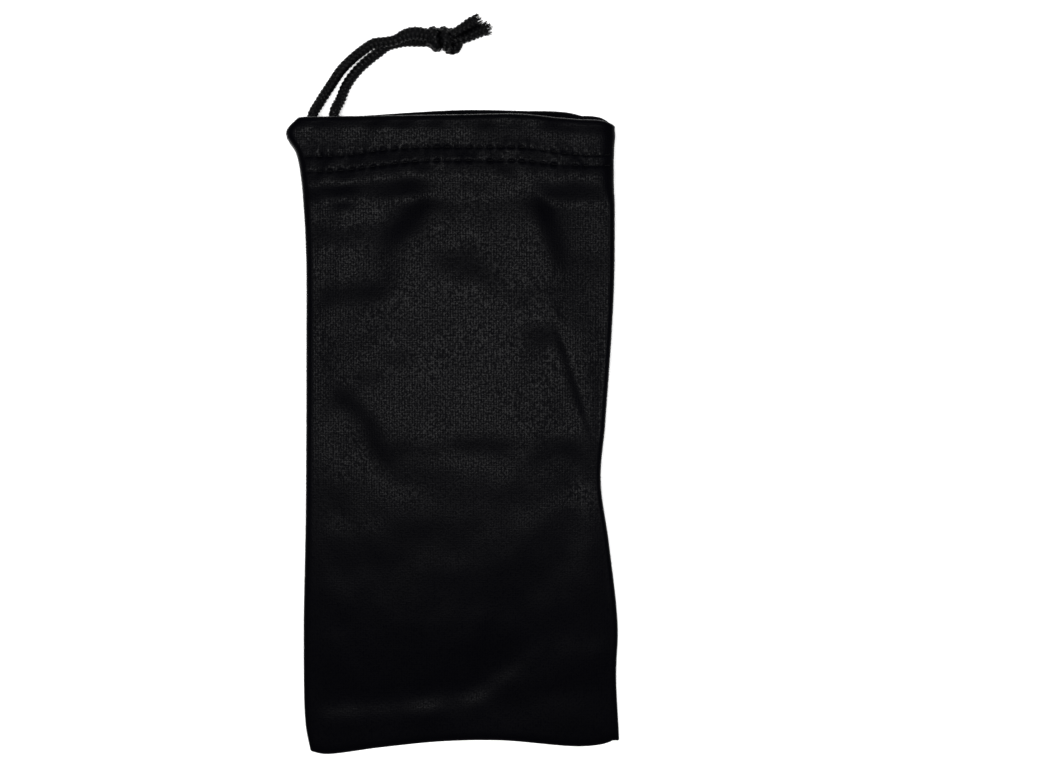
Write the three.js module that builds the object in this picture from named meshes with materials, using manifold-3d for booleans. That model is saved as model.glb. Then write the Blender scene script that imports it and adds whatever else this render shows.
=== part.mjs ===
// Soft drawstring pouch for glasses, lying flat on its back with the mouth toward +Y.
// Millimetres: X is the width, Y the length, Z the thickness, and z = 0 is what it lies on.
import * as THREE from 'three';
import Module from 'manifold-3d';

const wasm = await Module();
wasm.setup();

// Cloth and drawstring
const CLOTH = 0.5;          // thickness of the microfibre cloth
const AIR = 0.3;            // air left between pieces that touch in the real pouch
const CORD_R = 1.5;         // braided drawstring
const KNOT_CORD_R = 1.32;   // the drawstring is squeezed in its knot
const THREAD_R = 0.2;       // sewing thread
const STITCH = 3;           // length of one stitch

// Pouch lying flat
const WIDTH = 89;           // mean width over the fold and the side seam
const LENGTH = 178;         // cloth from the bottom seam to the lip
const TOP = 10.8;           // height of the front cloth over the middle
const EDGE_LIFT = 0.5;      // how far the back cloth curls up at its edges
const EDGE_ROUND = 10;      // how far from an edge the front cloth has risen fully
const MOUTH_GAP = 4.8;      // how far the lips stand open at mid width
const MOUTH_ROUND = 7;      // how far from a mouth corner the lips are fully open

// Hem, measured down from the lip
const LIP_R = 1.95;         // half the height of the channel at its lip fold
const CORD_DOWN = 4.8;      // middle of the drawstring
const ROW_UPPER = 8.7;      // upper row of stitches, which closes the channel
const ROW_LOWER = 12.9;     // lower row of stitches
const HEM_END = 14.8;       // cut edge of the turned-in cloth
const HEM_START = 15.8;     // where the hem leaves the panel
const PINCH = 0.35;         // half the distance between the hem's layers at a row
const BULGE = {             // how far the channel swells off the rows on its outer and inner side
  front: [2.55, 0.65],
  back: [0.9, 2.3],
};
const CORNER = 0.908;       // part of the width up to the moving corner of the mouth
const TURN_X = 39.1;        // middle of the hem's turn round the fold
const SEAM_WIDTH = 5;       // width of the cloth turned in at the seams

// Outline, lying flat: the side seam on the left, the fold on the right
const flat = (points) => {
  const curve = new THREE.CatmullRomCurve3(points.map(([x, y]) => new THREE.Vector3(x, y, 0)));
  curve.arcLengthDivisions = 1000;
  return curve;
};
const LEFT = flat([
  [-40.8, -91.2], [-42.2, -83.5], [-42.6, -58], [-41.8, -22.2], [-41.5, 26.2], [-41.6, 51.9],
  [-42.8, 70], [-44.4, 79], [-47.3, 84.6], [-43.8, 88.9],
]);
const RIGHT = flat([
  [47.3, -86.6], [46.4, -68], [46.8, -54], [44.3, -31], [41.9, -13], [43.2, 3.4],
  [45.6, 40.5], [45.8, 72], [45.7, 83.2], [44.1, 87.6],
]);
const BOTTOM = flat([
  [-40.8, -91.2], [-37, -92], [-20.9, -90.1], [-3.8, -88.4], [13.3, -88.1], [36.9, -89.8],
  [44.4, -88.6], [47.3, -86.6],
]);
const LIP = {
  front: flat([[-43.8, 88.9], [2, 89.6], [19, 89.8], [30, 88.7], [44.1, 87.6]]),
  back: flat([[-43.8, 88.9], [-32.3, 89.9], [1.9, 92.1], [19, 91.9], [33.2, 90.9], [44.1, 87.6]]),
};

// Creases of the front cloth: from, to, half width, height (a valley is negative)
const CREASES = [
  [[-40.9, 66.4], [-27.2, 72.7], 3, -0.9],
  [[-38.6, 46.5], [-17.2, 62.7], 4, 0.6],
  [[-2.1, 72.7], [-15.8, 37.6], 4, -0.8],
  [[21.8, 75.2], [31.8, 47.6], 4, -0.8],
  [[25.5, 37.6], [38, -12.5], 4.5, -1],
  [[30, 26.2], [41.5, -10], 3, 0.7],
  [[-33.5, 10], [-23.5, 2.6], 3.5, -0.7],
  [[1.6, -5.1], [13, -6.3], 4, -0.9],
  [[13.3, -70.7], [-29.8, -81.5], 4, 0.6],
  [[35.5, -56.4], [22.9, -75.2], 4.5, -0.9],
];

const mix = THREE.MathUtils.lerp;
const smooth = (t) => THREE.MathUtils.smoothstep(t, 0, 1);
const rise = (distance, round) => Math.sin((Math.PI / 2) * Math.min(1, Math.max(0, distance / round)));
const vec = (x, y, z) => new THREE.Vector3(x, y, z);

// A place of the flat cloth: across is 0 at the side seam and 1 at the fold, down is from the lip.
function plan(side, across, down) {
  const along = 1 - down / LENGTH;
  const u = Math.min(1, Math.max(0, across));
  const v = Math.min(1, Math.max(0, along));
  const corner = (curve, t) => curve.getPoint(t);
  return BOTTOM.getPointAt(u).multiplyScalar(1 - v)
    .addScaledVector(LIP[side].getPointAt(u), v)
    .addScaledVector(LEFT.getPointAt(v), 1 - u)
    .addScaledVector(RIGHT.getPointAt(v), u)
    .addScaledVector(corner(BOTTOM, 0), -(1 - u) * (1 - v))
    .addScaledVector(corner(BOTTOM, 1), -u * (1 - v))
    .addScaledVector(corner(LIP[side], 0), -(1 - u) * v)
    .addScaledVector(corner(LIP[side], 1), -u * v);
}

function crease(x, y) {
  let height = 0;
  for (const [from, to, half, peak] of CREASES) {
    const dx = to[0] - from[0];
    const dy = to[1] - from[1];
    const t = THREE.MathUtils.clamp(((x - from[0]) * dx + (y - from[1]) * dy) / (dx * dx + dy * dy), 0, 1);
    const off = Math.hypot(x - from[0] - dx * t, y - from[1] - dy * t) / half;
    height += peak * Math.exp(-off * off);
  }
  return height;
}

// Height of the middle of the cloth below the hem. At the mouth both edges round up to the hem.
function bodyHeight(side, across, down) {
  const { x, y } = plan(side, across, down);
  const near = smooth((32 - down) / 16);
  const edge = CLOTH * 1.5 + AIR + EDGE_LIFT + near * mix(1.2, 5.3, across);
  const full = rise(across * WIDTH, EDGE_ROUND) * rise((1 - across) * WIDTH, EDGE_ROUND)
    * rise(LENGTH - down, EDGE_ROUND);
  if (side === 'back') return mix(edge - CLOTH - AIR, CLOTH / 2, full);
  return mix(edge, TOP, full) + crease(x, y) * full * smooth((down - HEM_START) / 6);
}

// The channel is full height along its length and flattens toward its open end at the side seam.
const channel = (across) => mix(0.25, 1, smooth((across * WIDTH) / 7));
const lipGap = (across) => AIR + MOUTH_GAP * rise(across * WIDTH, MOUTH_ROUND);

// Height midway between the hem's layers at a row of stitches
function rowHeight(side, across) {
  const back = CLOTH / 2 + PINCH + BULGE.back[0];
  if (side === 'back') return back;
  const swollen = (BULGE.back[1] + BULGE.front[1]) * channel(across);
  return back + 2 * PINCH + CLOTH + swollen + lipGap(across);
}

// Offset of a hem layer off that height, outward positive. face is 1 outside and -1 inside, and goes
// from one to the other round the lip.
function hemOffset([outer, inner], full, face, swell) {
  const out = PINCH + outer * full * swell;
  const into = PINCH + inner * full * swell;
  return (out - into) / 2 + (face * (out + into)) / 2;
}

// Places along the hem from the panel, up the outside, round the lip and down the inside
const swells = [
  [HEM_START, 0], [ROW_LOWER, 0], [10.8, 0.06], [ROW_UPPER, 0],
  [7.4, 0.6], [6.3, 0.95], [CORD_DOWN, 1], [3.4, 1],
];
const lipTurn = [90, 58, 29, 0, -29, -58, -90].map((angle) => {
  const turn = THREE.MathUtils.degToRad(angle);
  return { down: 2.2 - LIP_R * Math.cos(turn), face: Math.sin(turn), swell: 1 };
});
const HEM = [
  ...swells.map(([down, swell]) => ({ down, swell, face: 1 })),
  ...lipTurn,
  ...swells.map(([down, swell]) => ({ down: Math.min(down, HEM_END), swell, face: -1 })).reverse(),
];

const BODY = [LENGTH, LENGTH - 1.5, LENGTH - 3.5, LENGTH - 6, LENGTH - 10];
for (let down = 162; down > 30; down -= 5.5) BODY.push(down);
BODY.push(26, 22, 18.5, HEM_START + 0.4);

// A closed piece of cloth: a thin box bent over the grid of places at(column, row).
function cloth(columns, rows, thickness, at) {
  const column = (i) => Array.from({ length: rows + 1 }, (_, j) => at(i, j));
  const grid = Array.from({ length: columns + 1 }, (_, i) => column(i));
  const side = (i, j) => {
    const across = grid[Math.min(columns, i + 1)][j].clone().sub(grid[Math.max(0, i - 1)][j]);
    const along = grid[i][Math.min(rows, j + 1)].clone().sub(grid[i][Math.max(0, j - 1)]);
    return across.cross(along).normalize();
  };
  const box = new THREE.BoxGeometry(1, 1, 1, columns, rows, 1);
  const { position } = box.attributes;
  for (let n = 0; n < position.count; n += 1) {
    const i = Math.round((position.getX(n) + 0.5) * columns);
    const j = Math.round((position.getY(n) + 0.5) * rows);
    const place = grid[i][j].clone().addScaledVector(side(i, j), position.getZ(n) * thickness);
    position.setXYZ(n, place.x, place.y, place.z);
  }
  return box;
}

function tube(points, radius, sides, steps) {
  const path = new THREE.CatmullRomCurve3(points);
  path.arcLengthDivisions = 2000;
  const round = new THREE.Shape(Array.from({ length: sides }, (_, k) => {
    const turn = (2 * Math.PI * (k + 0.5)) / sides;
    return new THREE.Vector2(radius * Math.cos(turn), radius * Math.sin(turn));
  }));
  return new THREE.ExtrudeGeometry(round, { steps, extrudePath: path, bevelEnabled: false });
}

function toManifold(geometry) {
  const { position } = geometry.attributes;
  const known = new Map();
  const vertices = [];
  const triangles = [];
  const corners = geometry.index ? Array.from(geometry.index.array) : [...Array(position.count).keys()];
  for (const n of corners) {
    const place = [position.getX(n), position.getY(n), position.getZ(n)];
    const key = place.map((v) => Math.round(v * 1e4) + 0).join();
    if (!known.has(key)) {
      known.set(key, vertices.length / 3);
      vertices.push(...place);
    }
    triangles.push(known.get(key));
  }
  const kept = [];
  for (let n = 0; n < triangles.length; n += 3) {
    const [a, b, c] = triangles.slice(n, n + 3);
    if (a !== b && b !== c && c !== a) kept.push(a, b, c);
  }
  return new wasm.Manifold(new wasm.Mesh({
    numProp: 3, vertProperties: new Float32Array(vertices), triVerts: new Uint32Array(kept),
  }));
}

function fromManifold(solid) {
  const mesh = solid.getMesh();
  const geometry = new THREE.BufferGeometry();
  geometry.setAttribute('position', new THREE.BufferAttribute(new Float32Array(mesh.vertProperties), 3));
  geometry.setIndex(Array.from(mesh.triVerts));
  return geometry;
}

// The largest body of a cut or joined solid, without edges too short to matter
function largest(solid) {
  const bodies = solid.decompose();
  return bodies.reduce((kept, body) => (body.volume() > kept.volume() ? body : kept)).simplify(0.02);
}

const object = new THREE.Group();
object.name = 'drawstring_glasses_pouch';
function add(name, geometry, color, roughness) {
  const piece = new THREE.Mesh(geometry, new THREE.MeshStandardMaterial({ color, roughness, metalness: 0 }));
  piece.name = name;
  object.add(piece);
}
const addCloth = (name, geometry) => add(name, geometry, 0x1c1c20, 0.9);
const addThread = (name, geometry) => add(name, geometry, 0x101012, 0.7);
const addCord = (name, geometry) => add(name, geometry, 0x161618, 0.8);

// Drawstring: through the front hem, round the fold, back through the back hem, and out at the seam end
function cordPlace(side, across) {
  const place = plan(side, across, CORD_DOWN);
  const outward = side === 'front' ? 1 : -1;
  place.z = rowHeight(side, across) + outward * hemOffset(BULGE[side], channel(across), 0, 1);
  return place;
}
const FRONT_END = 0.1;
const BACK_END = 0.185;
const RUN_STEPS = 12;
const run = (side, from) => Array.from({ length: RUN_STEPS + 1 }, (_, k) => (
  cordPlace(side, mix(from, CORNER, k / RUN_STEPS))
));
const frontRun = run('front', FRONT_END);
const backRun = run('back', BACK_END);
addCord('drawstring_front_run', tube(frontRun, CORD_R, 8, RUN_STEPS));
addCord('drawstring_back_run', tube(backRun, CORD_R, 8, RUN_STEPS));

const turnTop = cordPlace('front', CORNER);
const turnLow = cordPlace('back', CORNER);
const TURN_R = (turnTop.z - turnLow.z) / 2;
const TURN_Z = (turnTop.z + turnLow.z) / 2;
// A place of the turn: 0 is the front end, 1 the back end. Its first and last part is straight.
const START_X = Math.max(turnTop.x, turnLow.x) + 2 * AIR;
function turnPlace(t, radius, y) {
  const straight = 0.14;
  const turn = THREE.MathUtils.clamp((t - straight) / (1 - 2 * straight), 0, 1) * Math.PI;
  const lead = (Math.max(straight - t, t - 1 + straight, 0) / straight) * (TURN_X - START_X);
  return vec(TURN_X + radius * Math.sin(turn) - lead, y, TURN_Z + radius * Math.cos(turn));
}
const BEND_STEPS = 8;
const farBend = Array.from({ length: BEND_STEPS + 1 }, (_, k) => (
  turnPlace(k / BEND_STEPS, TURN_R, mix(turnTop.y, turnLow.y, k / BEND_STEPS))
));
addCord('drawstring_far_bend', tube(farBend, CORD_R, 8, BEND_STEPS));

// The free ends pass up between the lips and lie on the table, where the left one climbs over the right
// one before they are knotted together.
const step = (from, by) => from.clone().add(vec(...by));
const before = (run, by) => run[0].clone().add(run[0].clone().sub(run[1]).setLength(by));
const leftStrand = [
  before(frontRun, 0.5), before(frontRun, 1.9),
  vec(-38.9, 85.5, 9), vec(-40.2, 87.4, 6.8), vec(-39.8, 90.5, 5.8),
  vec(-38.1, 94.2, 3.4), vec(-35.6, 98.6, 1.8), vec(-32.1, 103.5, 2.5), vec(-29.5, 106, 3.2),
  vec(-26.1, 108.6, 4.1), vec(-22.7, 110.6, 4.8), vec(-19.5, 111, 5), vec(-16.7, 111.5, 5.1),
  vec(-13.8, 112.9, 5.1), vec(-11, 113.5, 5.1), vec(-8.5, 113.2, 5),
];
const rightStrand = [
  before(backRun, 0.5), before(backRun, 1.9),
  vec(-32.6, 86.4, 4), vec(-33.9, 88.6, 5.9), vec(-33.6, 91.3, 6.1),
  vec(-32.3, 94.8, 3.4), vec(-31, 98.6, 1.8), vec(-29.3, 101.4, 1.65), vec(-26.6, 104.5, 1.65),
  vec(-24.1, 106.7, 1.65), vec(-21.5, 108.7, 1.65), vec(-19.2, 110.4, 1.65), vec(-16.7, 111.2, 1.65),
  vec(-13.8, 111.7, 1.65), vec(-11, 111.7, 1.8), vec(-8.5, 111.6, 2.2),
];
const STRAND_STEPS = 22;
addCord('drawstring_left_strand', tube(leftStrand, CORD_R, 8, STRAND_STEPS));
addCord('drawstring_right_strand', tube(rightStrand, CORD_R, 8, STRAND_STEPS));

// Overhand knot tied in both strands together
const KNOT = vec(-2.5, 111.9, 4.7);
const knotPath = (lift) => Array.from({ length: 25 }, (_, k) => {
  const t = mix(-2.06, 2.06, k / 24);
  return vec(
    KNOT.x + 1.75 * (t ** 3 - 3 * t),
    KNOT.y + 0.9 * (t ** 4 - 4 * t * t + 1.9),
    KNOT.z + lift + 0.14 * (t ** 5 - 10 * t),
  );
});
// Each turn is a short tube of its own, since the turns press into each other where they cross.
const knotHalf = (lift) => {
  const path = knotPath(lift);
  const turns = [0, 4, 8, 12, 16, 20].map((k) => toManifold(tube(path.slice(k, k + 6), KNOT_CORD_R, 8, 6)));
  return wasm.Manifold.union(turns);
};
const heart = toManifold(new THREE.SphereGeometry(1, 12, 8)).scale([3.4, 2.4, 2.6]).translate(KNOT.toArray());
// Only the knot's outer skin is kept, so that no small hollow is sealed between its turns.
addCord('knot', fromManifold(largest(knotHalf(1.1).add(knotHalf(-1.1)).add(heart))));
addCord('left_tail', tube([vec(3.3, 115.5, 4.6), vec(4.8, 116.7, 4.1), vec(6.2, 117.6, 3.6)], CORD_R, 8, 3));
addCord('right_tail', tube([vec(4.3, 112.5, 3.9), vec(6.8, 113.8, 2.9), vec(9.4, 114.9, 2.1)], CORD_R, 8, 3));

// Panels with their hems. The free strands leave each hem through a buttonhole on its inner side.
const across = (columns) => [
  0, 0.018, 0.042, 0.07, ...Array.from({ length: columns }, (_, k) => mix(0.11, 0.89, k / (columns - 1))),
  0.93, 0.958, 0.982, 1,
];
function panel(side, columns, strand) {
  const places = across(columns);
  const rows = BODY.length + HEM.length - 1;
  const outward = side === 'front' ? 1 : -1;
  const at = (i, j) => {
    if (j < BODY.length) {
      const place = plan(side, places[i], BODY[j]);
      place.z = bodyHeight(side, places[i], BODY[j]);
      return place;
    }
    const { down, face, swell } = HEM[j - BODY.length];
    const u = places[i] * CORNER;
    const place = plan(side, u, down);
    place.z = rowHeight(side, u) + outward * hemOffset(BULGE[side], channel(u), face, swell);
    return place;
  };
  const solid = toManifold(cloth(places.length - 1, rows, CLOTH, at));
  const hole = toManifold(tube(strand.slice(0, 7), CORD_R + 0.3, 10, 12));
  const lead = [step(strand[0], [4, 0, 0]), step(strand[0], [-0.2, 0, 0])];
  const cord = toManifold(tube(lead, CORD_R + 0.2, 10, 1));
  return fromManifold(largest(solid.subtract(hole).subtract(cord)));
}
addCloth('front_panel', panel('front', 15, leftStrand));
addCloth('back_panel', panel('back', 9, rightStrand));

// Corner of the mouth over the fold: the hem carried round the turn of the drawstring
const CORNER_STEPS = 11;
const frontY = (down) => plan('front', CORNER, down).y;
const backY = (down) => plan('back', CORNER, down).y;
function cornerPlace(t, { down, face, swell }) {
  const bulge = [mix(BULGE.front[0], BULGE.back[0], t), mix(BULGE.front[1], BULGE.back[1], t)];
  const radius = TURN_R - hemOffset(bulge, 1, 0, 1) + hemOffset(bulge, 1, face, swell);
  return turnPlace(t, radius, mix(frontY(down), backY(down), t));
}
addCloth('mouth_corner', cloth(CORNER_STEPS, HEM.length - 1, CLOTH, (i, j) => (
  cornerPlace(i / CORNER_STEPS, HEM[j])
)));

// Stitches: a needle thread outside each row and a bobbin thread inside it, both with the rhythm of
// the stitches
function stitches(length, place) {
  const count = Math.round(length / STITCH) * 2;
  const points = Array.from({ length: count + 1 }, (_, k) => place(k / count, 0.2 + 0.15 * (k % 2)));
  return tube(points, THREAD_R, 4, count);
}
for (const side of ['front', 'back']) {
  const outward = side === 'front' ? 1 : -1;
  for (const [row, down] of [['upper', ROW_UPPER], ['lower', ROW_LOWER]]) {
    for (const [kind, face] of [['needle', 1], ['bobbin', -1]]) {
      const on = (t, lift) => {
        const u = mix(0.04, CORNER - 0.01, t);
        const place = plan(side, u, down);
        const off = PINCH + CLOTH / 2 + lift + THREAD_R + 0.5 * (1 - channel(u));
        place.z = rowHeight(side, u) + outward * face * off;
        return place;
      };
      addThread(`${side}_${row}_${kind}_thread`, stitches((CORNER - 0.04) * WIDTH, on));
    }
  }
}
for (const [row, down] of [['upper', ROW_UPPER], ['lower', ROW_LOWER]]) {
  const on = (t, lift) => {
    const s = mix(0.05, 0.95, t);
    const place = cornerPlace(s, { down, face: 1, swell: 0 });
    const flatTurn = turnPlace(s, 0, place.y);
    const out = place.clone().sub(flatTurn).normalize();
    return place.addScaledVector(out, CLOTH / 2 + lift + THREAD_R);
  };
  addThread(`corner_${row}_needle_thread`, stitches(15, on));
}

// Seam allowances turned in along the side and the bottom, with their hidden seams
const DOUBLE = CLOTH * 2;
const over = (u, down, lift) => {
  const place = plan('back', u, down);
  place.z = bodyHeight('back', u, down) + CLOTH / 2 + AIR + lift;
  return place;
};
const sideIn = (mm) => mm / WIDTH;
addCloth('side_seam_allowance', cloth(3, 32, DOUBLE, (i, j) => (
  over(sideIn(1.8 + (SEAM_WIDTH * i) / 3), mix(LENGTH - 8, 20, j / 32), DOUBLE / 2)
)));
addThread('side_seam_thread', stitches(LENGTH - 30, (t, lift) => (
  over(sideIn(2.8), mix(LENGTH - 9, 21, t), DOUBLE + lift + THREAD_R)
)));
addCloth('bottom_seam_allowance', cloth(16, 3, DOUBLE, (i, j) => (
  over(mix(0.04, 0.97, i / 16), LENGTH - 1.8 - (SEAM_WIDTH * j) / 3, DOUBLE / 2)
)));
addThread('bottom_seam_thread', stitches(WIDTH * 0.9, (t, lift) => (
  over(mix(0.05, 0.96, t), LENGTH - 2.8, DOUBLE + lift + THREAD_R)
)));

// The origin lies under the middle of the pouch itself, without the free end of its drawstring.
const FREE = ['drawstring_left_strand', 'drawstring_right_strand', 'knot', 'left_tail', 'right_tail'];
const box = new THREE.Box3();
for (const piece of object.children) {
  if (!FREE.includes(piece.name)) box.union(new THREE.Box3().setFromObject(piece));
}
const middle = box.getCenter(vec(0, 0, 0));
for (const piece of object.children) piece.geometry.translate(-middle.x, -middle.y, -box.min.z);

export default object;
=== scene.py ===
"""Soft drawstring pouch for glasses in black microfibre, lying flat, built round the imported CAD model.

Lengths are worked out in millimetres, as in the CAD part, and become metres when a mesh is made.
"""

import math

import bpy
import numpy as np
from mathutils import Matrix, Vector


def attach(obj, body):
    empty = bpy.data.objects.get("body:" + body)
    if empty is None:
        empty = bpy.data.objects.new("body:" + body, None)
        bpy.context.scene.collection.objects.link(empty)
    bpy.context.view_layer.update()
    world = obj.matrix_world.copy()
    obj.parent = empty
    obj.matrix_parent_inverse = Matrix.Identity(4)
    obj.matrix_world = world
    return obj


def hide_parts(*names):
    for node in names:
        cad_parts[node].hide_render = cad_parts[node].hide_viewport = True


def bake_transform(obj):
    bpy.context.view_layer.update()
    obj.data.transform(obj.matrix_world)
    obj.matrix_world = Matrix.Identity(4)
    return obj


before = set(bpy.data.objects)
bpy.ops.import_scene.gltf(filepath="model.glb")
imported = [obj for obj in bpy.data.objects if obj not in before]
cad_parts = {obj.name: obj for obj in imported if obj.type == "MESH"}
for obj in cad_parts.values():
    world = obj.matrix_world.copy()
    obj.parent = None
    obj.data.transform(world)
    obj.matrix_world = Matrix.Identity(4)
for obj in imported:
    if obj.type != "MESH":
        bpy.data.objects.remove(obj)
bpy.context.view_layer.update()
MM = 0.001

# ---------------------------------------------------------------- sizes shared with the CAD part
CLOTH = 0.5          # thickness of the cloth
CORD_R = 1.5         # radius of the drawstring
WIDTH, LENGTH = 89, 178            # nominal size of the flat pouch
AIR = 0.3            # how far the mouth is open at the side seam
MOUTH_GAP = 4.8      # how much further it is open elsewhere
SEAM_ROUND = 3.2     # how far from the side seam the hem stands up fully
CHANNEL_LEAST = 0.25               # how full the channel is at its open end
CORD_DOWN = 4.8      # how far the drawstring lies from the lip
ROW_UPPER, ROW_LOWER, HEM_END = 8.7, 12.9, 14.8   # and the nominal lines of the stitches, and the cut edge
HEM_START = 15.8     # where the cloth is single
PINCH = 0.35         # distance of each layer from the middle of the hem where they lie together
BULGE = {"front": (2.55, 0.65), "back": (0.9, 2.3)}   # how far the channel swells outward and inward
CORNER, TURN_X = 0.908, 39.1       # where the front of the hem and its drawstring start to turn to the back
FRONT_END, BACK_END = 0.1, 0.185   # shares of the width at which the drawstring leaves the channel
THREAD_R = 0.2
STITCH = 3.0         # length of a stitch

# ---------------------------------------------------------------- sizes of the visible cloth
HEM_BULGE = {"front": (0.35, 2.85), "back": (0.9, 2.3)}   # the soft hem lies flatter outside than the CAD's
LIP_SWELL = 0.62     # how far the channel is open at its lip fold
STITCH_DEPTH = 0.24  # how deep a stitch draws the cloth in
ROW_DEPTH, ROW_HALF = 0.03, 0.52       # how deep the cloth lies along the whole row, and how wide that is
STITCH_FLAT, STITCH_DIP = 0.34, 0.36   # shares of a stitch that lie flat and dip toward its holes
UPPER_LOW, LOWER_LOW = 1.65, 1.2       # how far the rows lie below their nominal lines in the middle
PULL_END = 30        # how far from the lip the cloth is pulled by the rows
HEM_LEAVE, HEM_FADE = 25, 9.5          # where, toward the lip, the cloth starts to take the hem's height
BODY_START, BODY_FADE = 16, 9          # where it starts to turn to the back further out than the hem does
EDGE_LEAVE, EDGE_FADE = 24, 8.0        # where, toward the lip, its edge at the fold starts to be the hem's
BODY_END = 0.972     # share of the width at which the cloth below the hem turns to the back
CORNER_DROP, CORNER_FADE = 2.1, 12     # how far the lip is lower at the fold, and where that ends
CREST = 0.3          # how far the outer layer stands up along the lip
LIP_EDGE = 0.25      # where the cloth turns over at the lip
LIP_DEPTH = 0.95     # how deep the lip's round is, from its edge
HEM_REACH, REACH_SHARE = 42.3, 0.3   # how far the hem reaches toward the fold, and a share of its height
EDGE_TURN, BOTTOM_TURN = 2.4, 3.2      # how far from the sides and the bottom the cloth starts to turn down
SEAM_HALF = 0.03     # half the distance between the two layers where they are sewn together
HEM_SEAM = 2.6       # height of the side seam at the hem
SEWN_WIDTH = 1.8     # how far from the side seam the two sides of the hem are drawn together
LINING_IN, LINING_FADE = 0.8, 4        # how far from the side seam the layer turned inside starts
SEAM_SHARE = 0.42    # share of the cloth's height at which front and back meet below the hem
TOP, TOP_FALL = 10.1, 0.022        # height of the cloth just below the hem, and how fast it sinks
SAG_START, SAG_ROUND, SAG_FALL = 104, 10, 0.023   # where it sinks faster, how softly and by how much
CAMBER = 0.25        # how far the cloth is lower toward its edges
CAMBER_LEFT, CAMBER_RIGHT = 26, 22     # where that starts
SOFT_WAVES = ((16, 5, 3, 0.03), (14, 11, 5, 0.085), (12, 24, 8, 0.16))   # count, size, seed and height
BACK_WAVES = 0.35    # share of them on the back, which lies on the floor
FOLD_IN, FOLD_UP = 8, 10           # folds are weaker this near the sides and the bottom
FOLD_LEAST = 0.25                  # share of a fold that is left right at the edges
FOLD_END, SLOPE_REACH = 1.8, 3.2   # half widths in which a fold fades past its ends, a slope to its sides

# ---------------------------------------------------------------- camera
VIEW_X, VIEW_Y, VIEW_H = 18.5 * MM, 12.3 * MM, 0.55
VIEW_WIDTH, WIDTH_AT = 0.2955, 4 * MM   # width of the view, and the height above the floor where it has it
SENSOR = 36
camera_data = bpy.data.cameras.new("camera")
camera = bpy.data.objects.new("camera", camera_data)
bpy.context.collection.objects.link(camera)
camera.location = (VIEW_X, VIEW_Y, VIEW_H)
camera_data.sensor_width = SENSOR
camera_data.lens = SENSOR * (VIEW_H - WIDTH_AT) / VIEW_WIDTH
camera_data.clip_start, camera_data.clip_end = 0.01, 20
bpy.context.scene.camera = camera


# ---------------------------------------------------------------- curves and surfaces
def spline(points, dense=80):
    """Points of a smooth curve through the given ones, and their distance along it."""
    p = np.asarray(points, float)
    ext = np.vstack([2 * p[0] - p[1], p, 2 * p[-1] - p[-2]])
    out = []
    t = np.linspace(0, 1, dense, endpoint=False)[:, None]
    for a, b, c, d in zip(ext, ext[1:], ext[2:], ext[3:]):
        da, db, dc = (max(math.sqrt(np.linalg.norm(q - r)), 1e-4) for q, r in ((b, a), (c, b), (d, c)))
        m1 = db * ((b - a) / da - (c - a) / (da + db) + (c - b) / db)
        m2 = db * ((c - b) / db - (d - b) / (db + dc) + (d - c) / dc)
        out.append(b + m1 * t + (3 * (c - b) - 2 * m1 - m2) * t**2 + (2 * (b - c) + m1 + m2) * t**3)
    out = np.vstack(out + [p[-1:]])
    along = np.concatenate([[0], np.cumsum(np.linalg.norm(np.diff(out, axis=0), axis=1))])
    return out, along


def at(curve, t):
    """Places on a curve at shares t of its length."""
    points, along = curve
    t = np.clip(t, 0, 1) * along[-1]
    return np.stack([np.interp(t, along, points[:, k]) for k in range(points.shape[1])], -1)


LEFT = spline([
    (-40.8, -91.2), (-42.2, -83.5), (-42.6, -58), (-41.8, -22.2), (-41.5, 26.2), (-41.6, 51.9),
    (-42.8, 70), (-44.4, 79), (-47.3, 84.6), (-43.8, 88.9),
])
RIGHT = spline([
    (47.3, -86.6), (46.4, -68), (46.8, -54), (44.3, -31), (41.9, -13), (43.2, 3.4),
    (45.6, 40.5), (45.8, 72), (45.7, 83.2), (44.1, 87.6),
])
BOTTOM = spline([
    (-40.8, -91.2), (-37, -92), (-20.9, -90.1), (-3.8, -88.4), (13.3, -88.1), (36.9, -89.8),
    (44.4, -88.6), (47.3, -86.6),
])
LIP = {
    "front": spline([(-43.8, 88.9), (2, 89.6), (19, 89.8), (30, 88.7), (44.1, 87.6)]),
    "back": spline([(-43.8, 88.9), (-32.3, 89.9), (1.9, 92.1), (19, 91.9), (33.2, 91.3), (44.1, 87.7)]),
}


def mix(a, b, t):
    return a + (b - a) * t


def smooth(t):
    t = np.clip(t, 0, 1)
    return t * t * (3 - 2 * t)


def plan(side, across, down):
    """A place of the flat cloth: across is 0 at the side seam and 1 at the fold, down is from the lip."""
    u, v = np.broadcast_arrays(np.clip(across, 0, 1), np.clip(1 - np.asarray(down, float) / LENGTH, 0, 1))
    un, vn = u[..., None], v[..., None]
    lip = LIP[side]
    return (
        (1 - vn) * at(BOTTOM, u) + vn * at(lip, u) + (1 - un) * at(LEFT, v) + un * at(RIGHT, v)
        - (1 - un) * (1 - vn) * at(BOTTOM, 0.0) - un * (1 - vn) * at(BOTTOM, 1.0)
        - (1 - un) * vn * at(lip, 0.0) - un * vn * at(lip, 1.0)
    )


def edge_dome(distance, rounding):
    """Height over an edge, from 0 to 1, of cloth that is flat on top and turns steeply down at the edge."""
    t = 1 - np.clip(distance / rounding, 0, 1)
    return (1 - t**4) ** 0.25


def channel(across):
    """How full the channel is: it flattens toward its open end at the side seam."""
    return mix(CHANNEL_LEAST, 1, edge_dome(across * WIDTH, SEAM_ROUND))


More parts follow.
